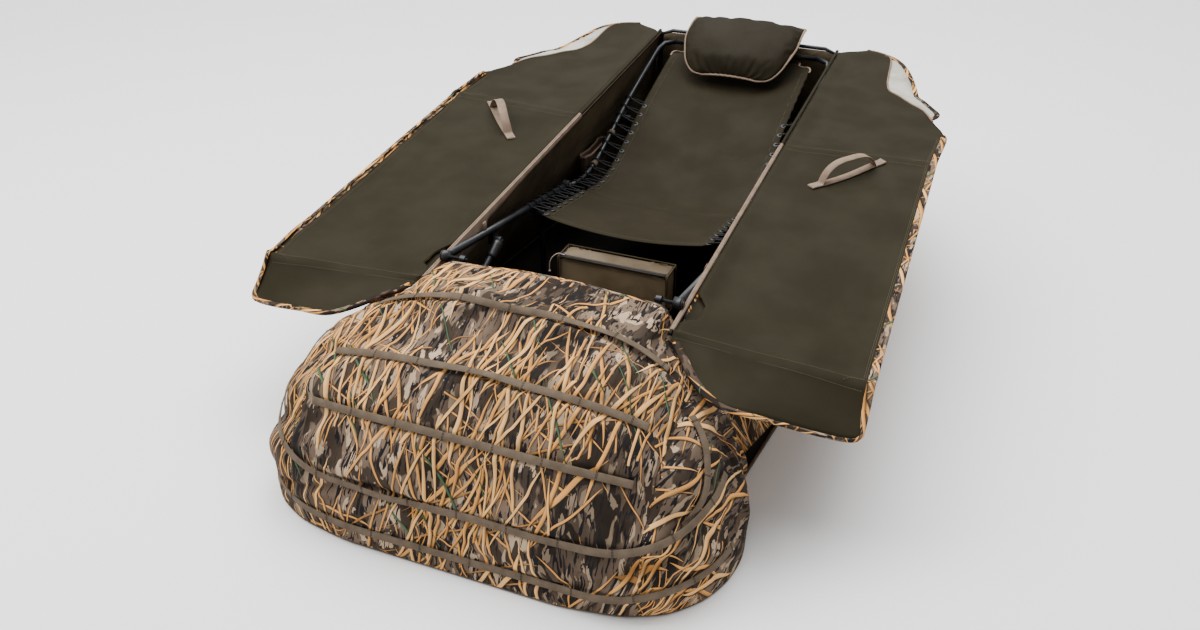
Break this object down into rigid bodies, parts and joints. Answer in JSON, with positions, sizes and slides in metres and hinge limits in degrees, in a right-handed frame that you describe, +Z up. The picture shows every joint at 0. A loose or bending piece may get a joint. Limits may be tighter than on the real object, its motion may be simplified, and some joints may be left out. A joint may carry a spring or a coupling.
{
  "type": "layout field blind",
  "caption": "Low ground blind a person lies in: folding tube frame, laced sling seat and reclined back, two flip-open doors, camouflage side walls and a puffed foot bag.",
  "frame": {"origin": "centre of the bounding box's bottom, on the ground under the middle of the blind", "axes": "+Z up, +Y from the foot bag to the head end, +X to the right-hand door seen from the foot end"},
  "size_m": [1.482, 2.159, 0.563],
  "materials": {
    "frame_tube": "satin black coated steel tube",
    "black_plastic": "moulded black plastic",
    "olive_fabric": "olive-brown woven polyester",
    "camo_fabric": "printed reed and bark camouflage polyester",
    "inner_fabric": "dark brown coated lining fabric",
    "window_mesh": "off-white knitted netting",
    "tan_webbing": "tan polypropylene webbing",
    "elastic_cord": "black braided elastic cord"
  },
  "bodies": {
    "base": {"floor_sheet": "inner_fabric", "foot_bag": "camo_fabric", "side_wall_left": "camo_fabric", "side_wall_right": "camo_fabric", "head_wall": "camo_fabric", "head_hoop": "frame_tube", "seat_rail_left": "frame_tube", "seat_rail_right": "frame_tube", "hub_left": "black_plastic", "hub_right": "black_plastic", "door_hinge_rod_left": "frame_tube", "door_hinge_rod_right": "frame_tube", "seat_hinge_left": "black_plastic", "seat_hinge_right": "black_plastic", "recline_pin_left": "frame_tube", "recline_pin_right": "frame_tube", "front_leg_bracket_left": "black_plastic", "front_leg_bracket_right": "black_plastic", "foot_frame_bracket_left": "black_plastic", "foot_frame_bracket_right": "black_plastic", "seat_sling": "olive_fabric", "seat_lacing_left": "elastic_cord", "seat_lacing_right": "elastic_cord", "storage_pouch": "olive_fabric", "side_pocket_left": "inner_fabric", "side_pocket_right": "inner_fabric"},
    "back": {"back_tube_left": "frame_tube", "back_tube_right": "frame_tube", "back_top_tube": "frame_tube", "back_hinge_left": "black_plastic", "back_hinge_right": "black_plastic", "rear_leg_bracket_left": "black_plastic", "rear_leg_bracket_right": "black_plastic", "back_sling": "olive_fabric", "back_lacing_left": "elastic_cord", "back_lacing_right": "elastic_cord", "pillow": "olive_fabric"},
    "front_leg": {"front_leg": "frame_tube"},
    "rear_leg": {"rear_leg": "frame_tube"},
    "foot_frame": {"foot_tube_left": "frame_tube", "foot_tube_right": "frame_tube", "foot_cross_tube": "frame_tube"},
    "foot_hoop": {"foot_hoop": "frame_tube"},
    "zip_slider": {"zip_slider": "black_plastic"},
    "door_left": {"door_panel_left": "olive_fabric", "mesh_window_left": "window_mesh", "door_front_rib_left": "frame_tube", "door_edge_rod_left": "frame_tube", "door_rear_rib_left": "frame_tube", "door_handle_left": "tan_webbing"},
    "door_right": {"door_panel_right": "olive_fabric", "mesh_window_right": "window_mesh", "door_front_rib_right": "frame_tube", "door_edge_rod_right": "frame_tube", "door_rear_rib_right": "frame_tube", "door_handle_right": "tan_webbing"}
  },
  "joints": [
    {"name": "door_left_flip", "type": "hinge", "parent": "base", "child": "door_left", "pos_m": [-0.305, -0.5115, 0.388], "axis": [0, -0.9971, -0.0762], "range_deg": [-133, 0]},
    {"name": "door_right_flip", "type": "hinge", "parent": "base", "child": "door_right", "pos_m": [0.305, -0.5115, 0.388], "axis": [0, 0.9971, 0.0762], "range_deg": [-133, 0]},
    {"name": "back_fold", "type": "hinge", "parent": "base", "child": "back", "pos_m": [0, 0.1915, 0.285], "axis": [1, 0, 0], "range_deg": [0, 140]},
    {"name": "front_leg_fold", "type": "hinge", "parent": "base", "child": "front_leg", "pos_m": [0, -0.01631, 0.2888], "axis": [-1, 0, 0], "range_deg": [0, 80]},
    {"name": "rear_leg_fold", "type": "hinge", "parent": "back", "child": "rear_leg", "pos_m": [0, 0.64933, 0.32897], "axis": [1, 0, 0], "range_deg": [0, 90]},
    {"name": "foot_frame_fold", "type": "hinge", "parent": "base", "child": "foot_frame", "pos_m": [0, -0.27631, 0.33133], "axis": [-1, 0, 0], "range_deg": [0, 12]},
    {"name": "foot_hoop_fold", "type": "hinge", "parent": "base", "child": "foot_hoop", "pos_m": [0, -0.5115, 0.4], "axis": [1, 0, 0], "range_deg": [0, 40]},
    {"name": "zip_slide", "type": "slide", "parent": "base", "child": "zip_slider", "axis": [1, 0, 0], "range_m": [0, 0.27]}
  ]
}
